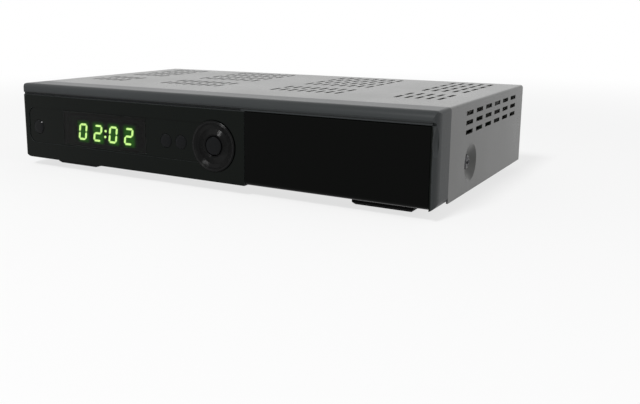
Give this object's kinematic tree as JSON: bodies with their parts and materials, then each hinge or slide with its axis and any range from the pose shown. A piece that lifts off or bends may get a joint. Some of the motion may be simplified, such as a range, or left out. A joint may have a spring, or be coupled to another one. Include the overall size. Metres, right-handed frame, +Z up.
{
  "type": "satellite television receiver",
  "caption": "Free-standing set-top receiver: vented steel case, gloss front with display, keys, tilting disc and drop-down flap, rear sockets, rocker switch and captive mains lead.",
  "frame": {"origin": "under the middle of the box without its mains lead, at the soles of the feet", "axes": "+X to the right seen from the front, +Y to the rear, +Z up; the front faces -Y"},
  "size_m": [0.25, 0.289, 0.0475],
  "materials": {
    "cover_paint": "satin powder coat",
    "chassis_steel": "bare zinc-coated sheet",
    "foot_plastic": "matte",
    "bezel_plastic": "gloss",
    "window_tint": "clear tinted",
    "module_plastic": "matte",
    "digit_glow": "lit",
    "board_laminate": "solder mask",
    "switch_plastic": "matte",
    "key_plastic": "gloss",
    "disc_plastic": "satin gloss",
    "door_plastic": "high gloss",
    "zinc_steel": "zinc plate",
    "screw_chrome": "bright",
    "screw_black": "black oxide",
    "tin_plate": "satin",
    "nickel": "bright nickel",
    "insulator_cream": "matte",
    "insulator_blue": "matte",
    "scart_plastic": "matte",
    "contact_metal": "plated",
    "jack_plastic": "matte",
    "jack_red": "gloss",
    "jack_white": "gloss",
    "jack_yellow": "gloss",
    "tongue_plastic": "matte",
    "fin_aluminium": "extruded",
    "chip_plastic": "matte",
    "header_plastic": "matte",
    "ribbon_plastic": "matte",
    "harness_plastic": "matte",
    "ferrite": "matte",
    "winding_tape": "tape",
    "capacitor_sleeve": "sleeve",
    "socket_plastic": "satin",
    "rocker_plastic": "satin",
    "cord_rubber": "matte",
    "plug_plastic": "matte",
    "pin_metal": "nickel plate"
  },
  "bodies": {
    "housing": {"top_cover": "cover_paint", "chassis": "chassis_steel", "feet": "foot_plastic", "front_bezel": "bezel_plastic", "display_window": "window_tint", "display_module": "module_plastic", "display_digits": "digit_glow", "front_board": "board_laminate", "tact_switches": "switch_plastic", "ir_receiver": "switch_plastic", "main_board": "board_laminate", "power_board": "board_laminate", "standoffs": "zinc_steel", "board_screws": "zinc_steel", "cover_side_screws": "screw_chrome", "cover_rear_screws": "screw_black", "jack_screw": "screw_chrome", "tuner_can": "tin_plate", "f_connectors": "nickel", "f_insulators": "insulator_cream", "serial_shell": "tin_plate", "serial_insulator": "insulator_blue", "scart_socket": "scart_plastic", "scart_contacts": "contact_metal", "jack_bodies": "jack_plastic", "jack_shells": "nickel", "jack_insulator_red": "jack_red", "jack_insulator_white": "jack_white", "jack_insulator_yellow": "jack_yellow", "hdmi_shell": "tin_plate", "hdmi_tongue": "tongue_plastic", "card_reader": "tongue_plastic", "usb_shell": "tin_plate", "usb_tongue": "tongue_plastic", "heat_sink": "fin_aluminium", "chips": "chip_plastic", "board_headers": "header_plastic", "ribbon_cable": "ribbon_plastic", "power_harness": "harness_plastic", "transformer_core": "ferrite", "transformer_winding": "winding_tape", "mains_capacitor": "capacitor_sleeve", "output_capacitors": "capacitor_sleeve", "power_heat_sink": "fin_aluminium", "switch_frame": "socket_plastic", "strain_relief": "cord_rubber", "mains_cord": "cord_rubber", "mains_coil": "cord_rubber", "cord_end": "cord_rubber", "cord_tie": "plug_plastic", "plug_body": "plug_plastic", "plug_pins": "pin_metal"},
    "standby_key": {"standby_button": "key_plastic"},
    "menu_key": {"menu_button": "key_plastic"},
    "exit_key": {"exit_button": "key_plastic"},
    "disc": {"nav_disc": "disc_plastic"},
    "ok_key": {"ok_button": "key_plastic"},
    "flap": {"door": "door_plastic"},
    "rocker": {"power_rocker": "rocker_plastic"}
  },
  "joints": [
    {"name": "standby_press", "type": "slide", "parent": "housing", "child": "standby_key", "axis": [0, 1, 0], "range_m": [0, 0.0005], "stiffness_N_per_m": 1500, "springref_m": -0.0005},
    {"name": "menu_press", "type": "slide", "parent": "housing", "child": "menu_key", "axis": [0, 1, 0], "range_m": [0, 0.0005], "stiffness_N_per_m": 1500, "springref_m": -0.0005},
    {"name": "exit_press", "type": "slide", "parent": "housing", "child": "exit_key", "axis": [0, 1, 0], "range_m": [0, 0.0005], "stiffness_N_per_m": 1500, "springref_m": -0.0005},
    {"name": "ok_press", "type": "slide", "parent": "housing", "child": "ok_key", "axis": [0, 1, 0], "range_m": [0, 0.0005], "stiffness_N_per_m": 1500, "springref_m": -0.0005},
    {"name": "disc_tilt", "type": "hinge", "parent": "housing", "child": "disc", "pos_m": [0.0119, -0.0724, 0.023], "axis": [1, 0, 0], "range_deg": [-2.5, 2.5], "stiffness_Nm_per_rad": 0.3},
    {"name": "flap_hinge", "type": "hinge", "parent": "housing", "child": "flap", "pos_m": [0.0762, -0.0717, 0.0079], "axis": [1, 0, 0], "range_deg": [0, 90]},
    {"name": "power_rock", "type": "hinge", "parent": "housing", "child": "rocker", "pos_m": [-0.0927, 0.0638, 0.0215], "axis": [0, 0, -1], "range_deg": [0, 20]}
  ]
}
